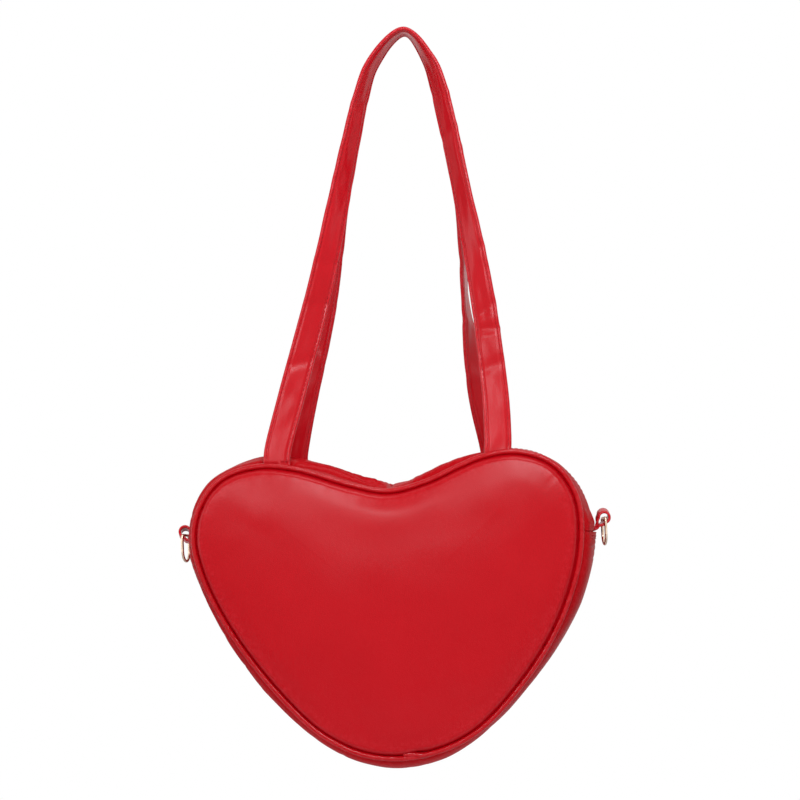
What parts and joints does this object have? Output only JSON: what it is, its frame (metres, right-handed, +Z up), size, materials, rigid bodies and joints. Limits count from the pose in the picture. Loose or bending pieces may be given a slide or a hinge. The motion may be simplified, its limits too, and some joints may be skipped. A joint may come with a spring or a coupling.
{
  "type": "heart shaped purse",
  "caption": "Heart shaped shoulder purse with puffed panels, piped seams, a zip over the lobes, two long flat straps and a ring in a loop on each side.",
  "frame": {"origin": "the point on which both straps hang, on the underside of their top", "axes": "+Z up, towards the hook; -Y is the bag's front; +X to the right as seen from the front"},
  "size_m": [0.3006, 0.0944, 0.5141],
  "materials": {
    "red_leather": "smooth glossy leather-look",
    "piping_leather": "smooth glossy leather-look",
    "strap_leather": "smooth glossy leather-look",
    "lining": "plain woven",
    "foam": "soft padding",
    "cord": "twisted cotton",
    "zip_tape": "woven tape",
    "zip_teeth": "satin",
    "pale_gold": "polished"
  },
  "bodies": {
    "bag": {"front_panel": "red_leather", "front_foam": "foam", "front_lining": "lining", "back_panel": "red_leather", "back_foam": "foam", "back_lining": "lining", "front_piping": "piping_leather", "front_piping_cord": "cord", "back_piping": "piping_leather", "back_piping_cord": "cord", "bottom_gusset": "red_leather", "bottom_gusset_lining": "lining", "top_strip_front": "red_leather", "top_strip_back": "red_leather", "top_lining_front": "lining", "top_lining_back": "lining", "zipper_tape_front": "zip_tape", "zipper_tape_back": "zip_tape", "zipper_teeth_front": "zip_teeth", "zipper_teeth_back": "zip_teeth", "zipper_stops": "pale_gold", "front_strap_ends": "strap_leather", "back_strap_ends": "strap_leather", "right_loop": "strap_leather", "left_loop": "strap_leather"},
    "slider": {"zipper_slider": "pale_gold", "zipper_slider_base": "pale_gold"},
    "pull": {"zipper_pull": "pale_gold"},
    "front_strap": {"front_strap": "strap_leather"},
    "back_strap": {"back_strap": "strap_leather"},
    "right_ring": {"right_ring": "pale_gold"},
    "left_ring": {"left_ring": "pale_gold"}
  },
  "joints": [
    {"name": "front_strap_swing", "type": "hinge", "parent": "bag", "child": "front_strap", "pos_m": [-0.022, -0.0356, -0.2956], "axis": [1, 0, 0], "range_deg": [0, 140]},
    {"name": "back_strap_swing", "type": "hinge", "parent": "bag", "child": "back_strap", "pos_m": [-0.022, 0.0356, -0.2956], "axis": [-1, 0, 0], "range_deg": [0, 140]},
    {"name": "slider_travel", "type": "hinge", "parent": "bag", "child": "slider", "pos_m": [-0.104, 0, -0.3476], "axis": [0, 1, 0], "range_deg": [0, 84]},
    {"name": "pull_swing", "type": "hinge", "parent": "slider", "child": "pull", "pos_m": [-0.15341, 0, -0.31989], "axis": [0, 1, 0], "range_deg": [0, 170]},
    {"name": "right_ring_swing", "type": "hinge", "parent": "bag", "child": "right_ring", "pos_m": [0.12385, 0, -0.34326], "axis": [0.1736, -0.9848, 0], "range_deg": [-10, 160]},
    {"name": "left_ring_swing", "type": "hinge", "parent": "bag", "child": "left_ring", "pos_m": [-0.16785, 0, -0.34326], "axis": [0.1736, 0.9848, 0], "range_deg": [-10, 160]}
  ]
}
